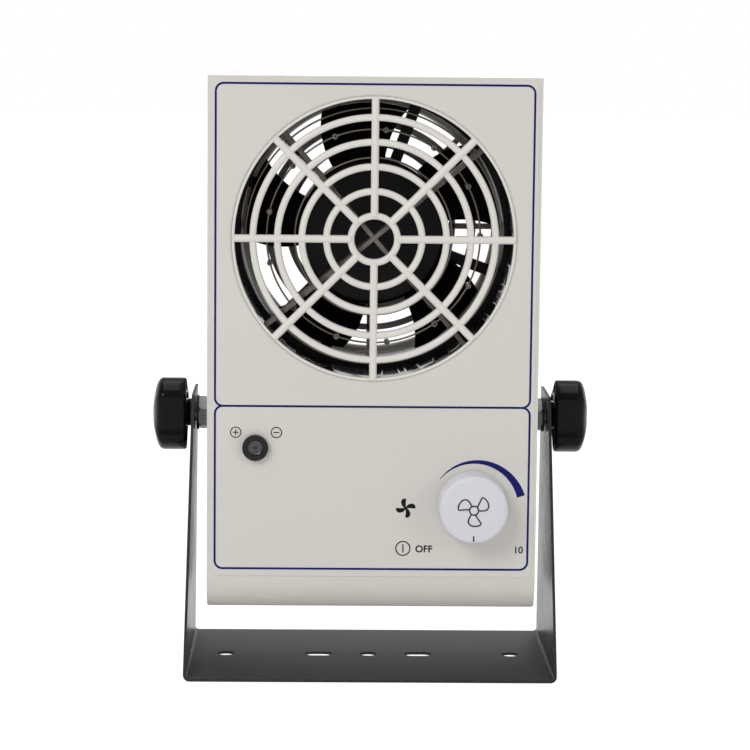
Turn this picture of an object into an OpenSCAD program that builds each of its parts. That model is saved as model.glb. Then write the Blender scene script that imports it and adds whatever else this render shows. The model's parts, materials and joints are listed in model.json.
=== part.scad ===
// Ionizing bench blower: an upright moulded casing with a fan and a ring of emitter
// needles behind its grille, held between the arms of a bent sheet bracket by two hand
// knobs. +X is the blower's right as seen from the front, +Y points to its back and +Z
// is up. The origin is the centre of the bracket's underside.

/* [Casing] */
// Width of the casing
casing_w = 140; // [136:1:150]
// Height of the flat face, from the top of the casing to the crease above the chin
face_h = 211.8; // [208:0.1:222]
// Height of the curved chin under the flat face
chin_h = 14.2; // [11:0.1:16]
// Radius of the curved chin
chin_r = 20; // [18:0.5:26]
// Depth of the casing, from face to back
casing_d = 83; // [82:1:92]
// Depth of the front cover, from the face to its joint with the rear cover
front_cover_d = 26; // [24:1:30]
// Wall thickness of both covers
wall = 2.5; // [2:0.1:2.8]
// Drop from the top of the casing to the centre of the fan
fan_drop = 68; // [67:0.5:72]
// Radius of the round opening in the face
opening_r = 60; // [58.5:0.1:61]

/* [Bracket] */
// Width of the bracket across its base
base_w = 159.5; // [158:0.5:164]
// Depth of the bracket's base, front to back
base_d = 97; // [84:1:110]
// Depth of each arm at its top
arm_top_d = 37; // [32:1:50]
// Thickness of the bracket's sheet
sheet_t = 1.2; // [1:0.1:1.5]
// Inner radius of the two bends
bend_r = 1.5; // [1:0.1:3]
// Height of the tilt axis above the bracket's underside
pivot_z = 109; // [106:1:130]
// Height of the arms above the tilt axis
arm_over = 10; // [9:0.5:14]
// Drop from the top of the casing to the tilt axis
pivot_drop = 147.5; // [146:0.5:150]
// Radius of the round screw holes in the base
base_hole_r = 3.75; // [2.5:0.05:4.5]
// Distance from the middle hole to each outer hole
hole_pitch = 63; // [58:0.5:66]
// Distance from the middle hole to each slot
slot_pitch = 22; // [18:0.5:26]
// Length of each slot, end to end
slot_len = 12.2; // [9:0.1:14]

/* [Tilt clamp] */
// Radius of the clamp studs
stud_r = 4; // [3:0.1:4.5]
// Width of the hexagonal spacers across their flats
hex_af = 13; // [12:0.5:15]
// Length of the hexagonal spacers between casing and washer
hex_len = 5; // [4:0.1:5.2]
// Thickness of the friction washers
friction_t = 1; // [0.6:0.1:1.1]
// Largest radius of the hand knobs
knob_r = 16.4; // [15:0.1:19]
// Thickness of the hand knobs without their neck
knob_t = 14.8; // [12:0.1:18]

/* [Grille] */
// Number of rings in the front grille
ring_count = 5; // [4:1:5]
// Radius of the grille's smallest ring, at its centre line
ring_first_r = 9.8; // [9:0.1:11]
// Radial distance from ring to ring
ring_pitch = 10.3; // [9.6:0.05:10.4]
// Width of each ring
ring_w = 2.9; // [2:0.1:3.2]
// Width of each spoke
spoke_w = 3.2; // [2.4:0.1:4]
// Number of spokes
spoke_count = 8; // [6:1:10]
// Depth of the grille's bars
grille_t = 3; // [2.5:0.1:3.4]

/* [Emitters] */
// Number of emitter needles
pin_count = 13; // [8:1:16]
// Radius of the wire ring that carries the needles
pin_ring_r = 45.5; // [43:0.5:47]
// Radius of the inner guard wire
inner_wire_r = 33.5; // [30:0.5:36]
// Radius of the outer guard wire
outer_wire_r = 54.5; // [53:0.5:55]
// Depth from the face to the front edge of the crossed carrier strips
carrier_in = 6; // [5:0.5:8]
// Width of the carrier strips, front to back
carrier_d = 12; // [9:0.5:13]
// Thickness of the carrier strips
carrier_t = 1.8; // [1.4:0.1:2.4]

/* [Fan] */
// Outer size of the square fan frame
fan_size = 120; // [116:0.5:121]
// Depth of the fan, front to back
fan_d = 38; // [36:0.5:38.5]
// Number of fan blades
blade_count = 5; // [3:1:7]
// Radius over the blade tips
tip_r = 56; // [52:0.5:56.5]
// Radius of the fan hub
hub_r = 32; // [28:0.5:34]

/* [Controls] */
// Distance of the speed knob to the right of the casing's centre line
speed_x = 42.8; // [40:0.5:46]
// Drop from the top of the casing to the speed knob
speed_drop = 180.7; // [176:0.5:184]
// Diameter of the speed knob at its base
speed_d = 30; // [26:0.5:34]
// Height of the speed knob
speed_t = 13; // [11:0.5:18]
// Distance of the indicator to the left of the casing's centre line
lamp_x = 49.5; // [46:0.5:52]
// Drop from the top of the casing to the indicator
lamp_drop = 156.5; // [154:0.5:160]
// Radius of the indicator's bezel
lamp_r = 5.5; // [5:0.1:6.5]

/* [Hidden] */

$fn = 64;
eps = 0.01;            // overlap that makes a cut go right through
seat = 0.3;            // gap between pieces that move past each other
snug = 0.1;            // gap between pieces that fit together
run = 0.05;            // radial clearance of a running fit

// Casing
casing_h = face_h + chin_h;
face_y = -casing_d / 2;
back_y = casing_d / 2;
split_y = face_y + front_cover_d;
case_top = pivot_z + pivot_drop;
case_bot = case_top - casing_h;
crease_z = case_top - face_h;
fan_z = case_top - fan_drop;
corner_r = 1.2;        // rounding of the casing's lower corners
in_x = casing_w / 2 - wall;
in_front = face_y + wall;
in_back = back_y - wall;
in_top = case_top - wall;
in_bot = case_bot + wall;
boss_r = 3.2;
boss_in = wall + boss_r + snug;
boss_x = casing_w / 2 - boss_in;
boss_zs = [case_bot + chin_h + boss_r, case_top - boss_in];
screw_r = 1.5;
lip_t = 1.2;           // tongue of the rear cover inside the front cover
lip_h = 3;

// Label
label_t = 0.3;
label_inset = 1.4;
label_r = 3;

// Bracket
arm_top_z = pivot_z + arm_over;
hex_x = casing_w / 2;
friction_x = hex_x + hex_len;
washer_r = hex_af / 2 + 1;
// Gap that keeps the leaning arm clear of the washers' rims
arm_spread = base_w / 2 - sheet_t - friction_x - friction_t;
arm_gap = (seat * (pivot_z - bend_r - sheet_t) + washer_r * abs(arm_spread))
          / (pivot_z - bend_r - sheet_t + washer_r);
arm_in_x = friction_x + friction_t + arm_gap;
bend_out_r = bend_r + sheet_t;
bend_x = base_w / 2 - bend_out_r;
bend_step = 0.02;      // step from each flat to its bend, which keeps their edge sharp
arm_lean = atan((base_w / 2 - arm_in_x - sheet_t) / (pivot_z - bend_out_r));
outer_washer_t = 0.8;
outer_washer_x = arm_in_x + sheet_t + arm_gap;
neck_len = 1.4;
neck_r = 6;
neck_x = outer_washer_x + outer_washer_t;
knob_x = neck_x + neck_len;
dome_r = 30;           // radius of the hand knobs' domed end
lobe_count = 3;
scallop_r = 40;
scallop_depth = 4.4;
scallop_turn = 4.75;   // direction of the front scallop above the horizontal
plate_t = 3;
plate_size = 26;
bush_r = 7;
bush_len = 7;
stud_in_x = in_x - plate_t - bush_len + 1;
stud_out_x = knob_x + knob_t - 6;

// Fan
fan_y0 = in_back - fan_d;
fan_y1 = in_back;
duct_r = fan_size / 2 - 2.5;
fan_hole = fan_size / 2 - 7.5;
fan_screw_r = 2;
flange_t = 5;
strut_d = 4;
motor_r = hub_r - 2;
tube_r = 6;
bearing_r = 4;
shaft_r = 1.5;
rotor_y0 = fan_y0 + 2;
rotor_y1 = fan_y1 - strut_d - 2;
hub_wall = 2;
blade_t = 2.4;
blade_start = 51;      // direction of the first blade's back edge
blade_turn = 42;       // how far a blade turns from its front edge to its back edge

// Emitters
shroud_r = opening_r - 0.5;
shroud_t = 2;
carrier_y = face_y + carrier_in;
wire_r = 0.4;
wire_y = carrier_y + carrier_d - 1;
carrier_angles = [39.5, 130.8];
socket_r = 1.2;
socket_len = 6;
needle_r = 0.5;
needle_in = 2;         // how far a needle is set into its socket
needle_out = 4.5;      // how far it stands out
needle_point = 2;
first_pin = 28.5;

// Controls
speed_z = case_top - speed_drop;
bush_hole_r = 3.5;
speed_body_d = 11;
speed_body = 17;
speed_shaft_r = 3;
nut_af = 10;
nut_t = 2;
knob_lift = 0.8;       // gap between the speed knob and the label
knob_skirt = 3.6;      // depth of the hollow that clears the nut
lamp_z = case_top - lamp_drop;
lamp_barrel_r = 3.9;
lamp_barrel = 14;
bezel_t = 2.6;
lens_r = 3.4;

// Transformer, board and inlet
trafo_side = 6.5;      // from the transformer to the side wall
trafo_mid = 15;        // from the transformer to the middle
trafo = [in_x - trafo_side - trafo_mid, 40, 44];
trafo_x = -(in_x - trafo_side + trafo_mid) / 2;
trafo_screw_xs = [trafo_x - trafo[0] / 2 + 6, trafo_x + trafo[0] / 2 - 6];
board = [60, 1.6, 44];
board_side = 15.5;     // from the board and the inlet to the side wall
board_x = in_x - board_side - board[0] / 2;
standoff = 6;
board_y = in_back - standoff - board[1];
board_z = in_bot + 66;
inlet_z = in_bot + 22;
inlet = [27.5, 24, 31];
inlet_flange = [36, 2.2, 38];
inlet_x = in_x - board_side - inlet_flange[0] / 2;
drawer = [20, 20, 7.5];
drawer_z = inlet_z + 9;

// ---- Shared shapes ----

// Cylinder along Y from y0 to y1
module along_y(r, y0, y1, x = 0, z = 0, n = 64)
  translate([x, y1, z]) rotate([90, 0, 0]) cylinder(r = r, h = y1 - y0, $fn = n);

// Ring along Y from y0 to y1
module ring_y(ro, ri, y0, y1, x = 0, z = 0)
  difference() {
    along_y(ro, y0, y1, x, z);
    along_y(ri, y0 - eps, y1 + eps, x, z);
  }

// Cylinder along X from x0 to x1 on the tilt axis
module along_x(r, x0, x1, n = 64)
  translate([x0, 0, pivot_z]) rotate([0, 90, 0]) cylinder(r = r, h = x1 - x0, $fn = n);

// Box from its lowest corner to its highest corner
module box(lo, hi)
  translate(lo) cube(hi - lo);

// Wire ring around the fan's axis
module hoop(r, y, w)
  translate([0, y, fan_z]) rotate([90, 0, 0])
    rotate_extrude() translate([r, 0]) circle(r = w, $fn = 16);

// Flat outline in X and Z, drawn out along Y from y0 to y1
module plate_y(y0, y1)
  translate([0, y1, 0]) rotate([90, 0, 0]) linear_extrude(height = y1 - y0) children();

// Rectangle in X and Z with round lower corners and square upper ones
module cover_outline(half_w, z0, z1, r)
  union() {
    translate([-half_w, z0 + r]) square([2 * half_w, z1 - z0 - r]);
    translate([-half_w + r, z0]) square([2 * half_w - 2 * r, 2 * r]);
    for (s = [-1, 1]) translate([s * (half_w - r), z0 + r]) circle(r = r);
  }

// Block between y0 and y1 whose lower front edge follows the chin's arc
module chin_block(half_w, y0, y1, z0, z1, arc_r, corner)
  intersection() {
    plate_y(y0, y1) cover_outline(half_w, z0, z1, corner);
    union() {
      box([-half_w - 1, y0 - 1, crease_z], [half_w + 1, y1 + 1, z1 + 1]);
      translate([-half_w - 1, face_y + chin_r, crease_z]) rotate([0, 90, 0])
        cylinder(r = arc_r, h = 2 * half_w + 2, $fn = 128);
      box([-half_w - 1, face_y + chin_r, z0 - 1], [half_w + 1, y1 + 1, crease_z + eps]);
    }
  }

// A screw along Y with its head at the back
module screw_y(x, z, y0, y1, r, head_r, head_h) {
  along_y(r, y0, y1, x, z, 32);
  difference() {
    along_y(head_r, y1, y1 + head_h, x, z, 32);
    for (a = [0, 90])
      translate([x, y1 + head_h, z]) rotate([0, a, 0]) cube([0.8, head_h, head_r], center = true);
  }
}

// Insulated lead: straight runs between points with round elbows
module lead(points, r)
  union() {
    for (i = [0 : len(points) - 2]) {
      a = points[i];
      b = points[i + 1];
      d = b - a;
      translate(a) rotate([0, acos(d[2] / norm(d)), atan2(d[1], d[0])])
        cylinder(r = r, h = norm(d), $fn = 24);
    }
    for (i = [1 : len(points) - 2]) translate(points[i]) sphere(r = r, $fn = 24);
  }

// ---- Bracket ----

// Front view of the U whose faces have this bend radius, open above top
module bracket_outline(r, floor_z, top) {
  arm_x = bend_x + r / cos(arm_lean) - (top - bend_out_r) * tan(arm_lean);
  for (s = [-1, 1]) translate([s * bend_x, bend_out_r]) rotate(90 + s * 90)
    circle(r = r - bend_step);
  polygon([[-bend_x, floor_z], [bend_x, floor_z],
           [bend_x + r * cos(arm_lean), bend_out_r + r * sin(arm_lean)], [arm_x, top], [-arm_x, top],
           [-bend_x - r * cos(arm_lean), bend_out_r + r * sin(arm_lean)]]);
}

// Side view of the bracket: wide at the base and narrow at the top
module bracket_side()
  rotate([90, 0, 90]) linear_extrude(height = 2 * base_w, center = true)
    polygon([[-base_d / 2, -1], [base_d / 2, -1], [base_d / 2, 0],
             [arm_top_d / 2, arm_top_z], [arm_top_d / 2, arm_top_z + 1],
             [-arm_top_d / 2, arm_top_z + 1], [-arm_top_d / 2, arm_top_z], [-base_d / 2, 0]]);

module base_slot(x)
  translate([x, 0, -1]) {
    for (s = [-1, 1])
      translate([s * (slot_len / 2 - base_hole_r), 0, 0])
        cylinder(r = base_hole_r, h = sheet_t + 2);
    translate([base_hole_r - slot_len / 2, -base_hole_r, 0])
      cube([slot_len - 2 * base_hole_r, 2 * base_hole_r, sheet_t + 2]);
  }

module bracket()
  color("#1b1b1d") difference() {
    intersection() {
      plate_y(-base_d, base_d) difference() {
        bracket_outline(bend_out_r, 0, arm_top_z);
        bracket_outline(bend_r, sheet_t, arm_top_z + 1);
      }
      bracket_side();
    }
    for (x = [-hole_pitch, 0, hole_pitch])
      translate([x, 0, -1]) cylinder(r = base_hole_r, h = sheet_t + 2);
    for (s = [-1, 1]) base_slot(s * slot_pitch);
    along_x(stud_r + seat, -base_w, base_w);
  }

// ---- Covers ----

module front_cover()
  color("#d2cdc3") difference() {
    union() {
      difference() {
        chin_block(casing_w / 2, face_y, split_y, case_bot, case_top, chin_r, corner_r);
        chin_block(in_x, in_front, split_y + 1, in_bot, in_top, chin_r - wall, eps);
      }
      for (s = [-1, 1], z = boss_zs) along_y(boss_r, in_front - eps, split_y, s * boss_x, z);
      for (s = [-1, 1], z = boss_zs)
        box([min(s * boss_x, s * (in_x + eps)), in_front - eps, z - 1],
            [max(s * boss_x, s * (in_x + eps)), split_y - lip_h - snug, z + 1]);
    }
    along_y(opening_r + snug, face_y - 1, in_front + 1, 0, fan_z, 128);
    along_y(bush_hole_r + snug, face_y - 1, in_front + 1, speed_x, speed_z);
    along_y(lamp_barrel_r + snug, face_y - 1, in_front + 1, -lamp_x, lamp_z);
    for (s = [-1, 1], z = boss_zs)
      along_y(screw_r + snug, in_front + 4, split_y + 1, s * boss_x, z, 32);
  }

module front_grille()
  color("#dbd7ce") union() {
    bar_y0 = face_y + 0.4;
    ring_y(opening_r, opening_r - 1.3, face_y, in_front, 0, fan_z);
    for (i = [0 : ring_count - 1]) {
      r = ring_first_r + i * ring_pitch;
      ring_y(r + ring_w / 2, r - ring_w / 2, bar_y0, bar_y0 + grille_t, 0, fan_z);
    }
    difference() {
      intersection() {
        for (i = [0 : spoke_count - 1])
          translate([0, 0, fan_z]) rotate([0, i * 360 / spoke_count, 0])
            box([0, face_y - 0.8, -spoke_w / 2], [opening_r + 2, face_y + grille_t, spoke_w / 2]);
        along_y(opening_r - 0.01, face_y - 1, face_y + grille_t + 1, 0, fan_z, 128);
      }
      along_y(ring_first_r, face_y - 2, in_front + 10, 0, fan_z);
      ring_y(opening_r + 1, shroud_r - snug, in_front, in_front + 10, 0, fan_z);
    }
  }

module face_label()
  color("#dedad1") difference() {
    half = casing_w / 2 - label_inset;
    top = case_top - label_inset;
    plate_y(face_y - label_t, face_y) union() {
      translate([-half, crease_z + label_r]) square([2 * half, top - crease_z - 2 * label_r]);
      translate([-half + label_r, crease_z]) square([2 * half - 2 * label_r, top - crease_z]);
      for (s = [-1, 1], z = [crease_z + label_r, top - label_r])
        translate([s * (half - label_r), z]) circle(r = label_r);
    }
    along_y(opening_r + 0.6, face_y - 1, face_y + 1, 0, fan_z, 128);
    along_y(nut_af / 2 + 2, face_y - 1, face_y + 1, speed_x, speed_z);
    along_y(lamp_barrel_r + snug, face_y - 1, face_y + 1, -lamp_x, lamp_z);
  }

module rear_cover()
  color("#cfc9be") difference() {
    union() {
      difference() {
        plate_y(split_y, back_y) cover_outline(casing_w / 2, case_bot, case_top, corner_r);
        box([-in_x, split_y - 1, in_bot], [in_x, in_back, in_top]);
      }
      difference() {
        box([-in_x + snug, split_y - lip_h, crease_z], [in_x - snug, split_y + wall, in_top - snug]);
        box([-in_x + lip_t, split_y - lip_h - 1, crease_z - 1],
            [in_x - lip_t, split_y + wall + 1, in_top - lip_t]);
        for (s = [-1, 1], z = boss_zs)
          along_y(boss_r + snug, split_y - lip_h - 1, split_y, s * boss_x, z);
      }
      for (s = [-1, 1], z = boss_zs) {
        along_y(boss_r, split_y, in_back + eps, s * boss_x, z);
        box([min(s * boss_x, s * (in_x + eps)), split_y, z - 1],
            [max(s * boss_x, s * (in_x + eps)), in_back + eps, z + 1]);
      }
    }
    along_y(duct_r, in_back - 1, back_y + 1, 0, fan_z, 128);
    for (s = [-1, 1], t = [-1, 1])
      along_y(fan_screw_r + snug, in_back - 1, back_y + 1, s * fan_hole, fan_z + t * fan_hole, 32);
    for (s = [-1, 1], z = boss_zs)
      along_y(screw_r + snug, split_y - 1, back_y + 1, s * boss_x, z, 32);
    for (x = trafo_screw_xs)
      along_y(screw_r + snug, in_back - 1, back_y + 1, x, in_bot + trafo[2] / 2, 32);
    box([inlet_x - inlet[0] / 2 - snug, in_back - 1, inlet_z - inlet[2] / 2 - snug],
        [inlet_x + inlet[0] / 2 + snug, back_y + 1, inlet_z + inlet[2] / 2 + snug]);
    along_x(stud_r + seat, -casing_w, casing_w);
    for (i = [-3 : 3]) translate([trafo_x + i * 6, 0, 0])
      box([-1.5, in_back - 1, in_bot + 56], [1.5, back_y + 1, in_bot + 80]);
  }

module rear_grille()
  color("#cfc9be") union() {
    y0 = back_y;
    y1 = back_y + grille_t;
    ring_y(duct_r + 4, duct_r - 3, y0, y1, 0, fan_z);
    for (i = [1 : 5]) ring_y(i * 9.2 + 1.4, i * 9.2 - 1.4, y0, y1, 0, fan_z);
    difference() {
      for (i = [0 : 7])
        translate([0, 0, fan_z]) rotate([0, i * 45, 0])
          box([0, y0, -1.3], [duct_r, y1, 1.3]);
      along_y(9.2, y0 - 1, y1 + 1, 0, fan_z);
    }
  }

// ---- Emitters ----

module emitter_duct()
  color("#101010") difference() {
    intersection() {
      box([snug - in_x, in_front - 1, in_bot], [in_x - snug, fan_y0 + 1, in_top - snug]);
      union() {
        ring_y(shroud_r + shroud_t, shroud_r, in_front, fan_y0, 0, fan_z);
        for (a = [45 : 90 : 315])
          translate([0, 0, fan_z]) rotate([0, a, 0])
            box([shroud_r + shroud_t / 2, in_front, -4], [shroud_r + 6.4, in_front + 2, 4]);
      }
    }
    for (a = carrier_angles)
      translate([0, 0, fan_z]) rotate([0, -a, 0])
        box([-shroud_r - 1, carrier_y - snug, -carrier_t / 2 - snug],
            [shroud_r + 1, carrier_y + carrier_d + snug, carrier_t / 2 + snug]);
  }

// A flat strip across the duct, cut clear of the needles and their sockets
module carrier_strip(angle, lap_y0, lap_y1)
  difference() {
    notched_strip(angle, lap_y0, lap_y1);
    at_pins() rotate([90, 0, 0]) {
      translate([0, 0, -socket_len / 2 - snug])
        cylinder(r = socket_r + snug, h = socket_len + 2 * snug, $fn = 32);
      cylinder(r = needle_r + snug, h = socket_len / 2 + needle_out + snug, $fn = 24);
    }
  }

// The strip itself, notched where the wires cross and lapped at its middle
module notched_strip(angle, lap_y0, lap_y1)
  translate([0, 0, fan_z]) rotate([0, -angle, 0]) difference() {
    box([-shroud_r - 0.9, carrier_y, -carrier_t / 2],
        [shroud_r + 0.9, carrier_y + carrier_d, carrier_t / 2]);
    box([-carrier_t / 2 - snug, lap_y0, -carrier_t], [carrier_t / 2 + snug, lap_y1, carrier_t]);
    for (s = [-1, 1], r = [inner_wire_r, pin_ring_r, outer_wire_r])
      box([s * r - wire_r - 0.12, wire_y - wire_r - snug, -carrier_t],
          [s * r + wire_r + 0.12, carrier_y + carrier_d + 1, carrier_t]);
    for (s = [-1, 1], r = [inner_wire_r - 6, inner_wire_r + 6, pin_ring_r + 5])
      box([s * r - 1.5, carrier_y - 1, -carrier_t], [s * r + 1.5, carrier_y + 2.5, carrier_t]);
  }

module carrier_strip_a()
  color("#77736c") carrier_strip(carrier_angles[0], carrier_y + carrier_d / 2,
                                 carrier_y + carrier_d + 1);

module carrier_strip_b()
  color("#77736c") carrier_strip(carrier_angles[1], carrier_y - 1,
                                 carrier_y + carrier_d / 2 + snug);

module inner_guard_wire() color("#8c8a86") hoop(inner_wire_r, wire_y, wire_r);
module emitter_wire() color("#8c8a86") hoop(pin_ring_r, wire_y, wire_r);
module outer_guard_wire() color("#8c8a86") hoop(outer_wire_r, wire_y, wire_r);

// Copies a piece to each needle's place on the emitter wire
module at_pins()
  for (i = [0 : pin_count - 1])
    translate([0, wire_y, fan_z]) rotate([0, -first_pin - i * 360 / pin_count, 0])
      translate([pin_ring_r, 0, 0]) children();

module pin_sockets()
  color("#6f6a62") at_pins() rotate([90, 0, 0]) difference() {
    translate([0, 0, -socket_len / 2]) cylinder(r = socket_r, h = socket_len, $fn = 32);
    translate([0, 0, socket_len / 2 - needle_in]) cylinder(r = needle_r, h = socket_len, $fn = 24);
  }

// Needles point forwards, the way the air leaves
module emitter_needles()
  color("#b9b9b6") at_pins() rotate([90, 0, 0]) translate([0, 0, socket_len / 2 - needle_in]) {
    cylinder(r = needle_r, h = needle_in + needle_out - needle_point, $fn = 24);
    translate([0, 0, needle_in + needle_out - needle_point])
      cylinder(r1 = needle_r, r2 = 0.08, h = needle_point, $fn = 24);
  }

// ---- Fan ----

module fan_frame()
  color("#161616") difference() {
    union() {
      for (y = [fan_y0, fan_y1 - flange_t])
        intersection() {
          box([-fan_size / 2, y, fan_z - fan_size / 2],
              [fan_size / 2, y + flange_t, fan_z + fan_size / 2]);
          along_y(fan_size / 2 * 1.36, y - 1, y + flange_t + 1, 0, fan_z);
        }
      ring_y(duct_r + 2, duct_r, fan_y0, fan_y1, 0, fan_z);
    }
    along_y(duct_r, fan_y0 - 1, fan_y1 + 1, 0, fan_z, 128);
    for (s = [-1, 1], t = [-1, 1])
      along_y(fan_screw_r + snug, fan_y0 - 1, fan_y1 + 1, s * fan_hole, fan_z + t * fan_hole, 32);
  }

// Motor plate, bearing tube and the struts that hold them in the fan frame
module fan_spider()
  color("#161616") difference() {
    union() {
      along_y(motor_r, fan_y1 - strut_d, fan_y1, 0, fan_z);
      along_y(tube_r, rotor_y0 + hub_wall + 6, fan_y1, 0, fan_z);
      for (a = [20 : 90 : 290])
        translate([0, 0, fan_z]) rotate([0, a, 0])
          box([motor_r - 1, fan_y1 - strut_d, -2.5], [duct_r - snug, fan_y1, 2.5]);
    }
    along_y(bearing_r, rotor_y0, fan_y1 - 1.5, 0, fan_z);
  }

module fan_rotor()
  color("#0d0d0d") union() {
    difference() {
      along_y(hub_r, rotor_y0, rotor_y1, 0, fan_z);
      along_y(hub_r - hub_wall, rotor_y0 + hub_wall, rotor_y1 + 1, 0, fan_z);
    }
    ring_y(shaft_r + 2, shaft_r, rotor_y0 + hub_wall - eps, rotor_y0 + hub_wall + 4, 0, fan_z);
    translate([0, rotor_y1 - 1, fan_z]) rotate([90, 0, 0])
      linear_extrude(height = rotor_y1 - rotor_y0 - 3, twist = blade_turn, slices = 6, $fn = 20)
        for (i = [0 : blade_count - 1]) rotate(i * 360 / blade_count + blade_start)
          translate([hub_r - hub_wall / 2, -blade_t / 2])
            square([tip_r - hub_r + hub_wall / 2, blade_t]);
  }

module fan_shaft()
  color("#b0b0b0") along_y(shaft_r, rotor_y0 + hub_wall, fan_y1 - 2.5, 0, fan_z);

module fan_bearings()
  color("#9a9a98") for (y = [rotor_y0 + hub_wall + 6, fan_y1 - 7])
    ring_y(bearing_r, shaft_r + 0.03, y, y + 4, 0, fan_z);

module fan_stator()
  color("#8a5a2a") ring_y(hub_r - hub_wall - 6, tube_r, rotor_y0 + 10, rotor_y1 - 2, 0, fan_z);

module fan_screws()
  color("#8e8e8c") for (s = [-1, 1], t = [-1, 1])
    screw_y(s * fan_hole, fan_z + t * fan_hole, fan_y1 - fan_d + 4, back_y, fan_screw_r, 3.6, 2);

// ---- Controls ----

module speed_control()
  color("#3a3f46") difference() {
    union() {
      box([speed_x - speed_body / 2, in_front, speed_z - speed_body / 2],
          [speed_x + speed_body / 2, in_front + speed_body_d, speed_z + speed_body / 2]);
      along_y(bush_hole_r, face_y - nut_t - 1, in_front + eps, speed_x, speed_z);
    }
    along_y(speed_shaft_r + run, face_y - nut_t - 2, in_front + speed_body_d - 2, speed_x, speed_z);
  }

module speed_nut()
  color("#b3b3b1") difference() {
    along_y(nut_af / 2 / cos(30), face_y - nut_t, face_y, speed_x, speed_z, 6);
    along_y(bush_hole_r, face_y - nut_t - 1, face_y + 1, speed_x, speed_z);
  }

module speed_shaft()
  color("#c0c0be") along_y(speed_shaft_r, face_y - knob_lift - speed_t + 2.5,
                           in_front + speed_body_d - 2 - seat, speed_x, speed_z);

module speed_knob()
  color("#e2e2e8") difference() {
    y1 = face_y - knob_lift;
    y0 = y1 - speed_t;
    edge = 1.6;
    translate([speed_x, y1, speed_z]) rotate([90, 0, 0]) rotate_extrude($fn = 128) difference() {
      union() {
        polygon([[0, 0], [speed_d / 2, 0], [speed_d / 2 - 0.5, speed_t - edge],
                 [speed_d / 2 - 0.5 - edge, speed_t - edge], [0, speed_t - edge]]);
        square([speed_d / 2 - 0.5 - edge, speed_t]);
        translate([speed_d / 2 - 0.5 - edge, speed_t - edge]) circle(r = edge);
      }
      translate([-speed_d, -speed_d]) square([speed_d, 3 * speed_d]);
    }
    along_y(nut_af / 2 / cos(30) + 1, y1 - knob_skirt, y1 + 1, speed_x, speed_z);
    along_y(speed_shaft_r, y0 + 2.5, y1 + 1, speed_x, speed_z);
  }

module indicator_bezel()
  color("#141414") difference() {
    union() {
      along_y(lamp_r, face_y - label_t - bezel_t, face_y - label_t, -lamp_x, lamp_z);
      along_y(lamp_barrel_r, face_y - label_t - eps, in_front + lamp_barrel, -lamp_x, lamp_z);
    }
    along_y(lens_r, face_y - label_t - bezel_t - 1, in_front + lamp_barrel - 1.5, -lamp_x, lamp_z);
  }

module indicator_lens()
  color("#2a2426") along_y(lens_r - snug, face_y - label_t - bezel_t + 0.4, face_y - label_t - bezel_t + 2.4,
                           -lamp_x, lamp_z);

module indicator_lamp()
  color("#d9d4c8") along_y(lens_r - snug, face_y - label_t - bezel_t + 2.4, in_front + lamp_barrel - 1.5,
                           -lamp_x, lamp_z);

module indicator_nut()
  color("#222222") difference() {
    along_y(lamp_barrel_r + 3, in_front, in_front + 2.5, -lamp_x, lamp_z, 6);
    along_y(lamp_barrel_r, in_front - 1, in_front + 4, -lamp_x, lamp_z);
  }

// ---- Transformer, board and inlet ----

module hv_transformer()
  color("#20242a") difference() {
    union() {
      box([trafo_x - trafo[0] / 2, in_back - trafo[1], in_bot],
          [trafo_x + trafo[0] / 2, in_back, in_bot + trafo[2]]);
      along_y(5, in_back - trafo[1] - 5, in_back - trafo[1] + eps, trafo_x, in_bot + trafo[2] / 2);
    }
    for (x = trafo_screw_xs)
      along_y(screw_r + snug, in_back - 10, in_back + 1, x, in_bot + trafo[2] / 2, 32);
  }

module transformer_screws()
  color("#8e8e8c") for (x = trafo_screw_xs)
    screw_y(x, in_bot + trafo[2] / 2, in_back - 9, back_y, screw_r, 2.8, 1.6);

function board_corners() = [for (s = [-1, 1], t = [-1, 1])
  [board_x + s * (board[0] / 2 - 4), board_z + t * (board[2] / 2 - 4)]];

module control_board()
  color("#2f6b3c") difference() {
    box([board_x - board[0] / 2, board_y, board_z - board[2] / 2],
        [board_x + board[0] / 2, board_y + board[1], board_z + board[2] / 2]);
    for (p = board_corners()) along_y(screw_r + snug, board_y - 1, board_y + 3, p[0], p[1], 32);
  }

module board_parts()
  color("#3b3b44") {
    box([board_x - 22, board_y - 12, board_z - 14], [board_x - 6, board_y, board_z + 2]);
    box([board_x + 4, board_y - 9, board_z - 16], [board_x + 14, board_y, board_z - 4]);
    along_y(5, board_y - 14, board_y, board_x + 20, board_z - 8);
    along_y(4, board_y - 11, board_y, board_x + 8, board_z + 6);
    box([board_x - 16, board_y - 8, board_z + 8], [board_x - 4, board_y, board_z + 16]);
  }

module board_standoffs()
  color("#b8a25a") for (p = board_corners())
    difference() {
      along_y(3.5, board_y + board[1], in_back, p[0], p[1], 6);
      along_y(screw_r + snug, board_y, in_back - 1, p[0], p[1], 32);
    }

module board_screws()
  color("#8e8e8c") for (p = board_corners())
    translate([0, 2 * board_y, 0]) mirror([0, 1, 0])
      screw_y(p[0], p[1], board_y - board[1] - 3, board_y, screw_r, 2.8, 1.6);

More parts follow.
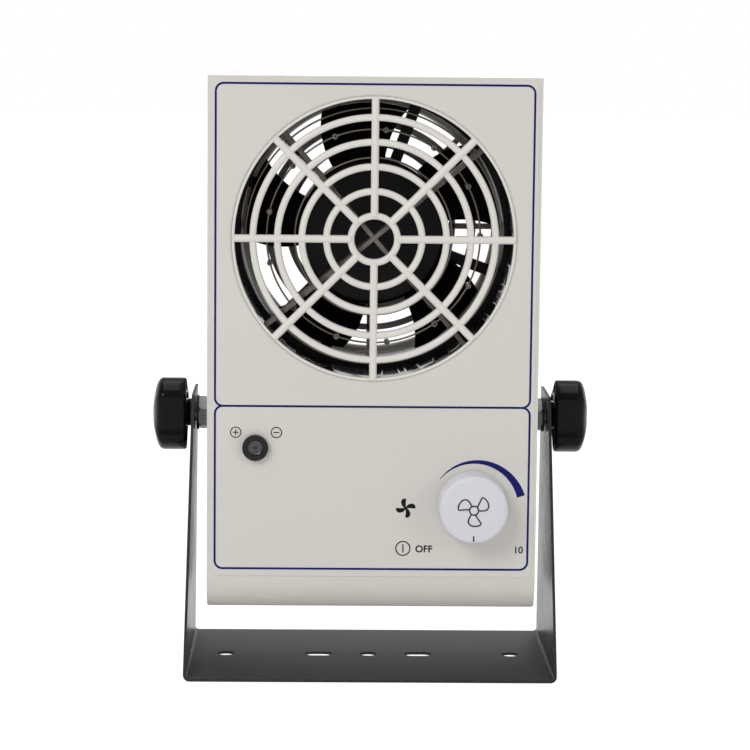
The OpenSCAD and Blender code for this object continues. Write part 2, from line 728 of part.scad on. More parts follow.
module power_inlet()
  color("#191919") difference() {
    union() {
      box([inlet_x - inlet[0] / 2, back_y - inlet[1], inlet_z - inlet[2] / 2],
          [inlet_x + inlet[0] / 2, back_y + eps, inlet_z + inlet[2] / 2]);
      box([inlet_x - inlet_flange[0] / 2, back_y, inlet_z - inlet_flange[2] / 2],
          [inlet_x + inlet_flange[0] / 2, back_y + inlet_flange[1], inlet_z + inlet_flange[2] / 2]);
    }
    difference() {
      box([inlet_x - 12, back_y - 16, inlet_z - 12.5], [inlet_x + 12, back_y + 4, inlet_z + 4]);
      for (p = [[-7, -6], [7, -6], [0, -2]])
        box([inlet_x + p[0] - 1, back_y - 17, inlet_z + p[1] - 2],
            [inlet_x + p[0] + 1, back_y - 1, inlet_z + p[1] + 2]);
    }
    box([inlet_x - drawer[0] / 2 - snug, back_y - drawer[1] - seat, drawer_z - drawer[2] / 2 - snug],
        [inlet_x + drawer[0] / 2 + snug, back_y + 4, drawer_z + drawer[2] / 2 + snug]);
  }

module fuse_drawer()
  color("#1f1f1f") difference() {
    box([inlet_x - drawer[0] / 2, back_y - drawer[1], drawer_z - drawer[2] / 2],
        [inlet_x + drawer[0] / 2, back_y + inlet_flange[1] + 0.6, drawer_z + drawer[2] / 2]);
    box([inlet_x - 3, back_y - drawer[1] + 2, drawer_z - 2.6 - snug],
        [inlet_x + 3, back_y - 1, drawer_z + drawer[2]]);
    box([inlet_x - 4, back_y + inlet_flange[1] - 0.6, drawer_z + drawer[2] / 2 - 1.2],
        [inlet_x + 4, back_y + 9, drawer_z + drawer[2]]);
  }

module fuse()
  color("#c8ccd0") translate([inlet_x, back_y - drawer[1] + 2.2, drawer_z])
    rotate([-90, 0, 0]) cylinder(r = 2.5, h = drawer[1] - 3.4, $fn = 32);

module casing_screws()
  color("#8e8e8c") for (s = [-1, 1], z = boss_zs)
    screw_y(s * boss_x, z, in_front + 6, back_y, screw_r, 2.8, 1.6);

// High-tension lead from the transformer up to the emitter wire
module hv_lead()
  color("#7a1d1d") lead([[trafo_x, in_back - trafo[1] - 5, in_bot + trafo[2] / 2],
                         [trafo_x, -16, in_bot + trafo[2] / 2],
                         [trafo_x, -16, fan_z - shroud_r - 8],
                         [trafo_x, wire_y + 4, fan_z - shroud_r - 8],
                         [trafo_x, wire_y + 4, fan_z - sqrt(pow(shroud_r + shroud_t, 2) - pow(trafo_x, 2)) - 1.6]], 1.2);

// Fan lead from the frame's lower edge down to the board
module fan_lead()
  color("#202020") lead([[board_x, fan_y1 - fan_d / 2, fan_z - duct_r - 2 + 0.02],
                         [board_x, fan_y1 - fan_d / 2, board_z + board[2] / 2 - 4],
                         [board_x, board_y, board_z + board[2] / 2 - 4]], 1.1);

// ---- Tilt clamp, drawn on the right and mirrored to the left ----

module pivot_plate()
  color("#8b8d8c") difference() {
    union() {
      box([in_x - plate_t, -plate_size / 2, pivot_z - plate_size / 2],
          [in_x, min(plate_size / 2, in_back), pivot_z + plate_size / 2]);
      along_x(bush_r, in_x - plate_t - bush_len, in_x - plate_t + eps);
    }
    along_x(stud_r + run, in_x - plate_t - bush_len - 1, in_x + 1);
  }

module hex_spacer()
  color("#8b8d8c") difference() {
    intersection() {
      translate([hex_x, 0, pivot_z]) rotate([0, 90, 0]) rotate(12)
        cylinder(r = hex_af / 2 / cos(30), h = hex_len, $fn = 6);
      translate([hex_x, 0, pivot_z]) rotate([0, 90, 0])
        cylinder(r1 = hex_af / 2 + 4, r2 = hex_af / 2 + 0.3, h = hex_len);
    }
    along_x(stud_r + run, hex_x - 1, hex_x + hex_len + 1);
  }

module friction_washer()
  color("#151515") difference() {
    along_x(washer_r, friction_x, friction_x + friction_t);
    along_x(stud_r + run, friction_x - 1, friction_x + friction_t + 1);
  }

module outer_washer()
  color("#1c1c1c") difference() {
    along_x(neck_r, outer_washer_x, outer_washer_x + outer_washer_t);
    along_x(stud_r + run, outer_washer_x - 1, outer_washer_x + outer_washer_t + 1);
  }

module hand_knob()
  color("#121212") difference() {
    translate([knob_x, 0, pivot_z]) rotate([0, 90, 0]) rotate_extrude($fn = 128) union() {
      translate([0, neck_x - knob_x]) square([neck_r, neck_len + 1]);
      intersection() {
        square([knob_r, knob_t]);
        translate([0, knob_t - dome_r]) circle(r = dome_r, $fn = 128);
      }
    }
    for (i = [0 : lobe_count - 1])
      translate([0, 0, pivot_z]) rotate([-scallop_turn - i * 360 / lobe_count, 0, 0])
        translate([knob_x - 5, -knob_r + scallop_depth - scallop_r, 0]) rotate([0, 90, 0])
          cylinder(r = scallop_r, h = knob_t + 10, $fn = 256);
    along_x(stud_r, neck_x - 1, stud_out_x);
  }

module clamp_stud()
  color("#8f918f") along_x(stud_r, stud_in_x, stud_out_x);

module left() mirror([1, 0, 0]) children();

module left_pivot_plate() left() pivot_plate();
module left_hex_spacer() left() hex_spacer();
module left_friction_washer() left() friction_washer();
module left_outer_washer() left() outer_washer();
module left_hand_knob() left() hand_knob();
module left_clamp_stud() left() clamp_stud();
module right_pivot_plate() pivot_plate();
module right_hex_spacer() hex_spacer();
module right_friction_washer() friction_washer();
module right_outer_washer() outer_washer();
module right_hand_knob() hand_knob();
module right_clamp_stud() clamp_stud();

bracket();
front_cover();
front_grille();
face_label();
rear_cover();
rear_grille();
emitter_duct();
carrier_strip_a();
carrier_strip_b();
inner_guard_wire();
emitter_wire();
outer_guard_wire();
pin_sockets();
emitter_needles();
fan_frame();
fan_spider();
fan_rotor();
fan_shaft();
fan_bearings();
fan_stator();
fan_screws();
speed_control();
speed_nut();
speed_shaft();
speed_knob();
indicator_bezel();
indicator_lens();
indicator_lamp();
indicator_nut();
hv_transformer();
transformer_screws();
control_board();
board_parts();
board_standoffs();
board_screws();
power_inlet();
fuse_drawer();
fuse();
casing_screws();
hv_lead();
fan_lead();
left_pivot_plate();
left_hex_spacer();
left_friction_washer();
left_outer_washer();
left_hand_knob();
left_clamp_stud();
right_pivot_plate();
right_hex_spacer();
right_friction_washer();
right_outer_washer();
right_hand_knob();
right_clamp_stud();
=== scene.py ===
"""Looks of the ionizing bench blower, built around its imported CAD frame.

Lengths in the helpers are in millimetres and become metres at the end, with MM.
"""
import json
import math
import random

import bmesh
import bpy
from mathutils import Matrix, Vector

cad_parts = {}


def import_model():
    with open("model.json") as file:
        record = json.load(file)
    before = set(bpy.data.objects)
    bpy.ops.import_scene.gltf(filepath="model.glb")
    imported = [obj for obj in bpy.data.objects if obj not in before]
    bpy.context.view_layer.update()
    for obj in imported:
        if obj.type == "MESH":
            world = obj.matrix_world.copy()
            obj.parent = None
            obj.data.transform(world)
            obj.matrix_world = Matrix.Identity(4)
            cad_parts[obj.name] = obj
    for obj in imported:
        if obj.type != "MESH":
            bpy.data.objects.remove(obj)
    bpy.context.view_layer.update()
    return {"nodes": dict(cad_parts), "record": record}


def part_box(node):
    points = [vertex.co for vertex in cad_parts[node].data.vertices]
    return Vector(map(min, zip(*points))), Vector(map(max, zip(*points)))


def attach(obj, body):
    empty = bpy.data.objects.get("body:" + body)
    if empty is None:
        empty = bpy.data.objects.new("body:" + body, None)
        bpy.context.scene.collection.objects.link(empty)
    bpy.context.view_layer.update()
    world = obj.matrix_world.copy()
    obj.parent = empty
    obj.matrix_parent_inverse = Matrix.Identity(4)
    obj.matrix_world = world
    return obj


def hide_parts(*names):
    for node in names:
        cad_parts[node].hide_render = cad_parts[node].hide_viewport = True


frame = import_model()
NODES = frame["nodes"]
MM = 0.001
random.seed(7)


def box_mm(node):
    """Lowest and highest corner of a CAD node, in millimetres."""
    lo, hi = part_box(node)
    return [v / MM for v in lo], [v / MM for v in hi]


COVER_LO, COVER_HI = box_mm("front_cover")
FACE_Y = COVER_LO[1]
TOP_Z = COVER_HI[2]
LABEL_Y = box_mm("face_label")[0][1]
DUCT_LO, DUCT_HI = box_mm("front_grille")
FAN_Z = (DUCT_LO[2] + DUCT_HI[2]) / 2
OPEN_R = (DUCT_HI[0] - DUCT_LO[0]) / 2
PIVOT_Z = sum(b[2] for b in box_mm("left_clamp_stud")) / 2


# ---- materials ----

def new_material(name):
    mat = bpy.data.materials.new(name)
    mat.use_nodes = True
    tree = mat.node_tree
    bsdf = tree.nodes["Principled BSDF"]
    return mat, tree, bsdf


def link(tree, a, b):
    tree.links.new(a, b)


def noise(tree, scale, detail=4.0, rough=0.55, stretch=None):
    """Noise in object coordinates, in metres; stretch squeezes it along the axes."""
    coord = tree.nodes.new("ShaderNodeTexCoord")
    src = coord.outputs["Object"]
    if stretch:
        mapping = tree.nodes.new("ShaderNodeMapping")
        mapping.inputs["Scale"].default_value = stretch
        link(tree, src, mapping.inputs["Vector"])
        src = mapping.outputs["Vector"]
    tex = tree.nodes.new("ShaderNodeTexNoise")
    tex.inputs["Scale"].default_value = scale
    tex.inputs["Detail"].default_value = detail
    tex.inputs["Roughness"].default_value = rough
    link(tree, src, tex.inputs["Vector"])
    return tex.outputs["Fac"]


def ramp(tree, fac, stops):
    """Colour ramp with (position, colour) stops."""
    node = tree.nodes.new("ShaderNodeValToRGB")
    els = node.color_ramp.elements
    while len(els) < len(stops):
        els.new(0.5)
    for el, (pos, col) in zip(els, stops):
        el.position = pos
        el.color = (*col, 1.0)
    link(tree, fac, node.inputs["Fac"])
    return node.outputs["Color"]


def bump(tree, bsdf, height, strength, distance_mm):
    node = tree.nodes.new("ShaderNodeBump")
    node.inputs["Strength"].default_value = strength
    node.inputs["Distance"].default_value = distance_mm * MM
    link(tree, height, node.inputs["Height"])
    link(tree, node.outputs["Normal"], bsdf.inputs["Normal"])


def shade(color, k):
    return tuple(min(1.0, c * k) for c in color)


def surface(name, color, rough, metallic=0.0, coat=0.0, vary=0.05, vary_scale=25.0,
            grain=0.0, grain_scale=1500.0, grain_mm=0.05, rough_vary=0.05,
            stretch=None, specular=None):
    """A moulded, painted or metal finish: slow colour drift, uneven gloss and a fine grain."""
    mat, tree, bsdf = new_material(name)
    drift = noise(tree, vary_scale, 3.0, 0.6, stretch)
    col = ramp(tree, drift, [(0.3, shade(color, 1 - vary)), (0.7, shade(color, 1 + vary))])
    link(tree, col, bsdf.inputs["Base Color"])
    smear = noise(tree, vary_scale * 6, 5.0, 0.65, stretch)
    scaled = tree.nodes.new("ShaderNodeMapRange")
    scaled.inputs["From Min"].default_value = 0.3
    scaled.inputs["From Max"].default_value = 0.7
    scaled.inputs["To Min"].default_value = max(0.02, rough - rough_vary)
    scaled.inputs["To Max"].default_value = min(1.0, rough + rough_vary)
    link(tree, smear, scaled.inputs["Value"])
    link(tree, scaled.outputs["Result"], bsdf.inputs["Roughness"])
    bsdf.inputs["Metallic"].default_value = metallic
    if coat:
        bsdf.inputs["Coat Weight"].default_value = coat
        bsdf.inputs["Coat Roughness"].default_value = 0.08
    if specular is not None:
        bsdf.inputs["Specular IOR Level"].default_value = specular
    if grain:
        bump(tree, bsdf, noise(tree, grain_scale, 2.0, 0.5, stretch), grain, grain_mm)
    return mat


def bracket_paint():
    """Satin black paint, duller on the trodden base than on the arms."""
    mat = surface("satin_black_paint", (0.020, 0.020, 0.022), 0.27, vary=0.10, vary_scale=14,
                  grain=0.30, grain_scale=2400, grain_mm=0.02, rough_vary=0.03)
    tree = mat.node_tree
    bsdf = tree.nodes["Principled BSDF"]
    gloss = bsdf.inputs["Roughness"].links[0].from_socket
    coord = tree.nodes.new("ShaderNodeTexCoord")
    split = tree.nodes.new("ShaderNodeSeparateXYZ")
    link(tree, coord.outputs["Normal"], split.inputs["Vector"])
    flat = tree.nodes.new("ShaderNodeMapRange")
    flat.inputs["From Min"].default_value = 0.3
    flat.inputs["From Max"].default_value = 0.9
    link(tree, split.outputs["Z"], flat.inputs["Value"])
    mix = tree.nodes.new("ShaderNodeMix")
    mix.data_type = "FLOAT"
    link(tree, flat.outputs["Result"], mix.inputs[0])
    link(tree, gloss, mix.inputs[2])
    mix.inputs[3].default_value = 0.72
    link(tree, mix.outputs[0], bsdf.inputs["Roughness"])
    return mat


CREAM = (0.655, 0.63, 0.59)
M = {
    "casing": surface("casing_cream", CREAM, 0.48, vary=0.012, vary_scale=18,
                      grain=0.25, grain_scale=2600, grain_mm=0.03),
    # The grille is the casing's cream painted 10% lighter. This is painted light that makes its
    # rings stand out brighter than the face around them.
    "grille": surface("grille_cream_painted_light", shade(CREAM, 1.10), 0.42, vary=0.012,
                      grain=0.12, grain_scale=2600, grain_mm=0.02),
    "label": surface("overlay_cream", shade(CREAM, 1.0), 0.42, vary=0.01, vary_scale=12,
                     grain=0.15, grain_scale=3800, grain_mm=0.015),
    "blue": surface("print_navy", (0.010, 0.014, 0.13), 0.5, vary=0.08, specular=0.08),
    "ink": surface("print_black", (0.010, 0.010, 0.011), 0.55, vary=0.08, specular=0.08),
    "bracket": bracket_paint(),
    "duct": surface("duct_black", (0.013, 0.011, 0.010), 0.12, vary=0.2, rough_vary=0.05,
                    specular=0.8),
    "carrier": surface("carrier_grey", (0.16, 0.135, 0.12), 0.55, vary=0.12,
                       vary_scale=120, grain=0.3, grain_scale=900),
    "wire": surface("wire_grey", (0.28, 0.24, 0.20), 0.35, metallic=0.6, vary=0.15),
    "socket": surface("socket_grey", (0.22, 0.19, 0.165), 0.4, metallic=0.5, vary=0.15),
    "needle": surface("needle_steel", (0.65, 0.65, 0.64), 0.22, metallic=1.0, vary=0.06),
    "fan": surface("fan_black", (0.005, 0.005, 0.005), 0.34, vary=0.15, specular=0.22, grain=0.2,
                   grain_scale=1600, grain_mm=0.03),
    "steel": surface("ground_steel", (0.55, 0.55, 0.54), 0.28, metallic=1.0, vary=0.06,
                     stretch=(1, 1, 12)),
    "zinc": surface("zinc_plate", (0.42, 0.42, 0.40), 0.36, metallic=0.9, vary=0.12,
                    vary_scale=200, grain=0.15, grain_scale=900),
    "hex": surface("hex_zinc", (0.27, 0.28, 0.27), 0.42, metallic=0.5, vary=0.12,
                   vary_scale=160, stretch=(1, 6, 6)),
    "copper": surface("winding_copper", (0.45, 0.20, 0.08), 0.4, metallic=0.8, vary=0.2,
                      vary_scale=300),
    "potted": surface("potted_dark", (0.03, 0.034, 0.04), 0.45, vary=0.12, grain=0.2),
    "board": surface("board_green", (0.02, 0.12, 0.045), 0.35, vary=0.18, vary_scale=260),
    "brass": surface("post_brass", (0.55, 0.40, 0.16), 0.3, metallic=1.0, vary=0.08),
    "black": surface("gloss_black", (0.006, 0.006, 0.007), 0.20, vary=0.15, grain=0.1,
                     specular=0.3),
    "knob": surface("knob_black", (0.004, 0.004, 0.005), 0.13, vary=0.15, specular=0.12,
                    grain=0.08, grain_scale=500, grain_mm=0.02),
    "dial": surface("dial_white", (0.67, 0.67, 0.72), 0.38, vary=0.012, grain=0.1,
                    grain_scale=2400, grain_mm=0.02),
    "lens": surface("lens_dark", (0.035, 0.033, 0.036), 0.18, vary=0.2),
    "lens_grey": surface("lens_grey", (0.20, 0.20, 0.21), 0.3, vary=0.15),
    "lamp": surface("lamp_milky", (0.45, 0.42, 0.38), 0.4, vary=0.1),
    "rubber": surface("rubber_black", (0.015, 0.015, 0.015), 0.6, vary=0.2, grain=0.3),
    "glass": surface("fuse_glass", (0.62, 0.66, 0.68), 0.08, vary=0.05, coat=0.5),
    "red": surface("lead_red", (0.25, 0.02, 0.02), 0.4, vary=0.1),
    "lead": surface("lead_black", (0.02, 0.02, 0.02), 0.4, vary=0.15),
}

SLOT_LOOK = {
    "casing": "casing", "label": "label", "bracket": "bracket", "duct": "duct",
    "carrier": "carrier", "wire": "wire", "socket": "socket", "needle": "needle",
    "fan_plastic": "fan", "steel": "steel", "winding": "copper", "dark_body": "potted",
    "zinc": "zinc", "speed_knob": "dial", "black_plastic": "black", "lens": "lens",
    "lamp": "lamp", "rubber": "rubber", "board": "board", "brass_post": "brass",
    "glass": "glass", "red_lead": "red", "black_lead": "lead", "hand_knob": "knob",
}
NODE_SLOT = {s["node"]: s["material_slot"] for s in frame["record"]["subparts"]}
EDGE_MM = {
    "front_cover": 0.5, "rear_cover": 0.5, "face_label": 0.08, "bracket": 0.22,
    "power_inlet": 0.4, "fuse_drawer": 0.3, "casing_screws": 0.15, "fan_screws": 0.15,
    "transformer_screws": 0.15, "indicator_bezel": 0.3, "left_hex_spacer": 0.3,
    "right_hex_spacer": 0.3, "left_outer_washer": 0.12, "right_outer_washer": 0.12,
    "left_friction_washer": 0.15, "right_friction_washer": 0.15, "fan_frame": 0.3,
    "emitter_duct": 0.15, "carrier_strip_a": 0.1, "carrier_strip_b": 0.1,
    "hv_transformer": 0.5, "speed_control": 0.3,
}


def soften(obj, width_mm, segments=2, angle=35):
    """Rounds a mesh's sharp edges with modifiers."""
    weld = obj.modifiers.new("weld", "WELD")
    weld.merge_threshold = 1e-6
    bev = obj.modifiers.new("bevel", "BEVEL")
    bev.width = width_mm * MM
    bev.segments = segments
    bev.limit_method = "ANGLE"
    bev.angle_limit = math.radians(angle)
    bev.use_clamp_overlap = True
    bev.harden_normals = False


for node_name, node_obj in NODES.items():
    look = M[SLOT_LOOK[NODE_SLOT[node_name]]]
    if node_name.endswith("hex_spacer"):
        look = M["hex"]
    node_obj.data.materials.clear()
    node_obj.data.materials.append(look)
    if node_name in EDGE_MM:
        soften(node_obj, EDGE_MM[node_name])


# ---- mesh helpers ----

def piece(name, verts, faces, look, body, smooth=35.0, stands_for=()):
    """A mesh from points in millimetres that rides on a body; smooth is the crease angle."""
    mesh = bpy.data.meshes.new(name)
    mesh.from_pydata([[c * MM for c in v] for v in verts], [], faces)
    bm = bmesh.new()
    bm.from_mesh(mesh)
    bmesh.ops.remove_doubles(bm, verts=bm.verts, dist=1e-7)
    bmesh.ops.recalc_face_normals(bm, faces=bm.faces)
    for edge in bm.edges:
        if len(edge.link_faces) == 2:
            edge.smooth = edge.calc_face_angle(0.0) < math.radians(smooth)
    for face in bm.faces:
        face.smooth = True
    bm.to_mesh(mesh)
    bm.free()
    mesh.materials.append(M[look])
    obj = bpy.data.objects.new(name, mesh)
    bpy.context.scene.collection.objects.link(obj)
    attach(obj, body)
    if stands_for:
        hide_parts(*stands_for)
    return obj


class Shape:
    """Points and faces gathered from several forms before they become one mesh."""

    def __init__(self):
        self.verts = []
        self.faces = []

    def add(self, verts, faces):
        base = len(self.verts)
        self.verts += [tuple(v) for v in verts]
        self.faces += [[i + base for i in f] for f in faces]

    def loft(self, rings, closed_ring=True, caps=True, loop=False):
        """Skins a list of rings with the same number of points."""
        n = len(rings[0])
        verts = [p for ring in rings for p in ring]
        faces = []
        last = len(rings) if loop else len(rings) - 1
        span = n if closed_ring else n - 1
        for i in range(last):
            j = (i + 1) % len(rings)
            for k in range(span):
                m = (k + 1) % n
                faces.append([i * n + k, i * n + m, j * n + m, j * n + k])
        if caps and not loop:
            faces.append(list(range(n))[::-1])
            faces.append([(len(rings) - 1) * n + k for k in range(n)])
        self.add(verts, faces)

    def lathe_y(self, profile, cx, cz, steps=96):
        """Turns (radius, y) points about a line along Y; the profile is a closed loop."""
        rings = []
        for s in range(steps):
            a = 2 * math.pi * s / steps
            rings.append([(cx + r * math.cos(a), y, cz + r * math.sin(a))
                          for r, y in profile])
        self.loft(rings, loop=True)


def dome_lathe_y(shape, profile, cx, cz, steps=96):
    """Turns an open (radius, y) profile whose two ends lie on the axis."""
    rings = []
    for r, y in profile[1:-1]:
        rings.append([(cx + r * math.cos(2 * math.pi * s / steps), y,
                       cz + r * math.sin(2 * math.pi * s / steps)) for s in range(steps)])
    shape.loft(rings, caps=False)
    n = steps
    for end, ring in ((profile[0], rings[0]), (profile[-1], rings[-1])):
        verts = [(cx, end[1], cz)] + ring
        shape.add(verts, [[0, 1 + k, 1 + (k + 1) % n] for k in range(n)])


def rounded_section(w, d, front_r, back_r=0.25, steps=5):
    """Section of a moulded bar: u across, v from front (0) to back (d)."""
    pts = []
    for cx, cv, r, a0 in ((w / 2 - front_r, front_r, front_r, 0),
                          (-w / 2 + front_r, front_r, front_r, 90)):
        for i in range(steps + 1):
            a = math.radians(a0 + 90 * i / steps)
            pts.append((cx + r * math.cos(a), cv - r * math.sin(a)))
    for cx, cv, r, a0 in ((-w / 2 + back_r, d - back_r, back_r, 180),
                          (w / 2 - back_r, d - back_r, back_r, 270)):
        for i in range(3):
            a = math.radians(a0 + 45 * i)
            pts.append((cx + r * math.cos(a), cv - r * math.sin(a)))
    return pts


# ---- front and rear grille ----

def grille(name, y_front, ring_radii, ring_w, spoke_w, spokes, depth, spoke_depth, rim,
           spoke_y, turn=1, spoke_from=None, start=0.0, look="grille", stands_for=()):
    """Round bars and spokes as one moulding; turn is -1 where the outside faces +Y."""
    sh = Shape()
    for r in ring_radii:
        sec = rounded_section(ring_w, depth, ring_w * 0.42)
        sh.lathe_y([(r + u, y_front + turn * v) for u, v in sec], 0, FAN_Z, 128)
    if rim:
        r0, r1, y0, y1 = rim
        sec = rounded_section(r1 - r0, y1 - y0, (r1 - r0) * 0.35)
        sh.lathe_y([((r0 + r1) / 2 + u, y0 + v) for u, v in sec], 0, FAN_Z, 160)
    sec = rounded_section(spoke_w, spoke_depth, spoke_w * 0.45)
    inner = spoke_from if spoke_from is not None else ring_radii[0]
    outer = rim[0] + 0.5 if rim else ring_radii[-1]
    for k in range(spokes):
        a = start + 2 * math.pi * k / spokes
        c, s = math.cos(a), math.sin(a)
        rings = []
        for r in (inner, outer):
            rings.append([(r * c - u * s, spoke_y + turn * v, FAN_Z + r * s + u * c)
                          for u, v in sec])
        sh.loft(rings)
    return piece(name, sh.verts, sh.faces, look, "casing", 40,
                 stands_for=stands_for)


RING_FIRST_R, RING_PITCH, RINGS = 9.8, 10.3, 5
RING_RADII = [RING_FIRST_R + RING_PITCH * i for i in range(RINGS)]
grille("grille_moulding", FACE_Y - 0.1, RING_RADII, 2.9, 3.2, 8, 3.2, 3.6,
       (OPEN_R - 1.3, OPEN_R, FACE_Y, FACE_Y + 2.5), FACE_Y - 0.7,
       stands_for=("front_grille",))
REAR_LO, REAR_HI = box_mm("rear_grille")
rear_r = (REAR_HI[0] - REAR_LO[0]) / 2
grille("rear_grille_moulding", REAR_HI[1], [9.2 * (i + 1) for i in range(5)], 2.8, 2.6, 8,
       3.0, 3.0, (rear_r - 7, rear_r, REAR_LO[1], REAR_HI[1]), REAR_HI[1], turn=-1,
       look="casing", stands_for=("rear_grille",))


# ---- fan rotor ----

def rotor():
    """Domed hub with swept, twisted blades that are thin at the tips."""
    lo, hi = box_mm("fan_rotor")
    y0, y1 = lo[1], hi[1]
    hub = 32.0
    tip = (hi[0] - lo[0]) / 2
    sh = Shape()
    cap = [(0.0, y0 + 0.4), (hub * 0.55, y0 + 0.25), (hub - 2.2, y0), (hub - 1.0, y0 + 0.25),
           (hub - 0.2, y0 + 1.1), (hub, y0 + 2.2), (hub, y1 - 0.4), (hub - 0.5, y1),
           (hub - 2, y1), (hub - 2.2, y0 + 3), (8, y0 + 3), (0, y0 + 3)]
    dome_lathe_y(sh, cap, 0, FAN_Z, 96)
    lead_in, span, blades = 9.0, 42.0, 5
    for b in range(blades):
        rings = []
        for i in range(9):
            t = i / 8
            r = hub - 0.8 + (tip - hub + 0.8) * t
            sweep = -7.0 * t * t
            ring = []
            half = [(0.0, 0.25), (0.12, 0.95), (0.3, 1.25), (0.55, 1.15), (0.8, 0.7), (1.0, 0.2)]
            for side in (1, -1):
                for u, h in (half if side > 0 else half[::-1]):
                    ang = math.radians(72 * b + lead_in + sweep + span * u * (1 - 0.06 * t))
                    yy = y0 + 2.0 + (y1 - y0 - 3.2) * (u + 0.10 * math.sin(math.pi * u))
                    off = side * h * (1.1 - 0.35 * t)
                    ring.append((r * math.cos(ang) - off * 0.75 * math.sin(ang), yy - off * 0.6,
                                 FAN_Z + r * math.sin(ang) + off * 0.75 * math.cos(ang)))
            rings.append(ring)
        sh.loft(rings)
    return piece("rotor_moulding", sh.verts, sh.faces, "fan", "fan", 50,
                 stands_for=("fan_rotor",))


rotor()


# ---- prints on the overlay ----

PRINT_T = 0.05


def ribbon(shape, pts, width, y, thick=PRINT_T, closed=False):
    """A flat printed line through (x, drop) points; width is one number or one per point."""
    n = len(pts)
    widths = [width] * n if isinstance(width, (int, float)) else width
    front, back = y - thick, y
    rings = []
    for i in range(n):
        a = pts[i - 1] if (closed or i > 0) else pts[i]
        b = pts[(i + 1) % n] if (closed or i < n - 1) else pts[i]
        dx, dz = b[0] - a[0], b[1] - a[1]
        ln = math.hypot(dx, dz) or 1.0
        nx, nz = -dz / ln * widths[i] / 2, dx / ln * widths[i] / 2
        x, z = pts[i]
        rings.append([(x + nx, front, z + nz), (x - nx, front, z - nz),
                      (x - nx, back, z - nz), (x + nx, back, z + nz)])
    shape.loft(rings, loop=closed)


def slab(shape, pts, y, thick=PRINT_T):
    """A flat printed patch with this outline."""
    shape.loft([[(x, y - thick, z) for x, z in pts], [(x, y, z) for x, z in pts]])


def face_pt(x, drop):
    return (x, TOP_Z - drop)


def round_rect(x0, x1, z0, z1, r, steps=8):
    pts = []
    for cx, cz, a0 in ((x1 - r, z1 - r, 0), (x0 + r, z1 - r, 90),
                       (x0 + r, z0 + r, 180), (x1 - r, z0 + r, 270)):
        for i in range(steps + 1):
            a = math.radians(a0 + 90 * i / steps)
            pts.append((cx + r * math.cos(a), cz + r * math.sin(a)))
    return pts


def ring_pts(cx, cz, r, n=40):
    return [(cx + r * math.cos(2 * math.pi * k / n), cz + r * math.sin(2 * math.pi * k / n))
            for k in range(n)]


frame_print = Shape()
SIDE, TOP_D, MID_D, LOW_D, LINE_W = 66.6, 3.2, 138.85, 208.6, 0.9
ribbon(frame_print, round_rect(-SIDE, SIDE, TOP_Z - MID_D, TOP_Z - TOP_D, 3.3), LINE_W,
       LABEL_Y, closed=True)
ribbon(frame_print, round_rect(-SIDE, SIDE, TOP_Z - LOW_D, TOP_Z - MID_D, 3.3), LINE_W,
       LABEL_Y, PRINT_T * 1.2, closed=True)
SPEED_X, SPEED_Z = 42.8, TOP_Z - 180.7
arc = []
arc_w = []
for k in range(41):
    t = k / 40
    ang = math.radians(141.5 + (10.5 - 141.5) * t)
    rad = 17.75 + 3.25 * t ** 1.55
    arc.append((SPEED_X + rad * math.cos(ang), SPEED_Z + rad * math.sin(ang)))
    arc_w.append(0.2 + 3.3 * t ** 1.05)
ribbon(frame_print, arc, arc_w, LABEL_Y)
piece("frame_print", frame_print.verts, frame_print.faces, "blue", "casing")

marks = Shape()
for sx, plus in ((-57.8, True), (-40.6, False)):
    cx, cz = face_pt(sx, 150.1)
    ribbon(marks, ring_pts(cx, cz, 2.2), 0.42, LABEL_Y, closed=True)
    ribbon(marks, [(cx - 1.25, cz), (cx + 1.25, cz)], 0.42, LABEL_Y)
    if plus:
        ribbon(marks, [(cx, cz - 1.25), (cx, cz + 1.25)], 0.42, LABEL_Y, PRINT_T * 1.2)
cx, cz = face_pt(13.5, 199.6)
ribbon(marks, ring_pts(cx, cz, 3.0), 0.5, LABEL_Y, closed=True)
ribbon(marks, [(cx, cz - 1.8), (cx, cz + 1.8)], 0.5, LABEL_Y)
cx, cz = face_pt(14.5, 182.2)
BLADE_MARK = ((0.3, 0), (2.2, 0), (4.0, -2), (4.2, 6), (4.15, 18), (3.75, 30), (3.0, 42),
              (2.0, 54), (1.1, 66), (0.3, 60))
for k in range(4):
    blade = []
    for r, a in BLADE_MARK:
        a = math.radians(90 * k + a)
        blade.append((cx + r * math.cos(a), cz + r * math.sin(a)))
    slab(marks, blade, LABEL_Y, PRINT_T * (1 + 0.02 * k))
slab(marks, ring_pts(cx, cz, 0.75, 20), LABEL_Y, PRINT_T * 1.15)
piece("function_marks", marks.verts, marks.faces, "ink", "casing")


def lettering(name, text, x0, base_drop, cap_mm, bold=0.0):
    """Generic plain lettering on the overlay, made into a mesh."""
    cu = bpy.data.curves.new(name, "FONT")
    cu.body = text
    cu.size = cap_mm / 0.73 * MM
    cu.extrude = PRINT_T * MM / 2
    cu.offset = bold * MM
    tmp = bpy.data.objects.new(name + "_tmp", cu)
    bpy.context.scene.collection.objects.link(tmp)
    dg = bpy.context.evaluated_depsgraph_get()
    mesh = bpy.data.meshes.new_from_object(tmp.evaluated_get(dg))
    bpy.data.objects.remove(tmp)
    mesh.transform(Matrix.Rotation(math.radians(90), 4, "X"))
    mesh.transform(Matrix.Translation((x0 * MM, (LABEL_Y - PRINT_T / 2) * MM,
                                       (TOP_Z - base_drop) * MM)))
    mesh.materials.clear()
    mesh.materials.append(M["ink"])
    mesh.name = name
    obj = bpy.data.objects.new(name, mesh)
    bpy.context.scene.collection.objects.link(obj)
    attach(obj, "casing")
    return obj


lettering("word_off", "OFF", 18.7, 201.2, 3.05, 0.10)
lettering("number_high", "10", 60.6, 201.4, 3.0, 0.08)


# ---- speed knob ----

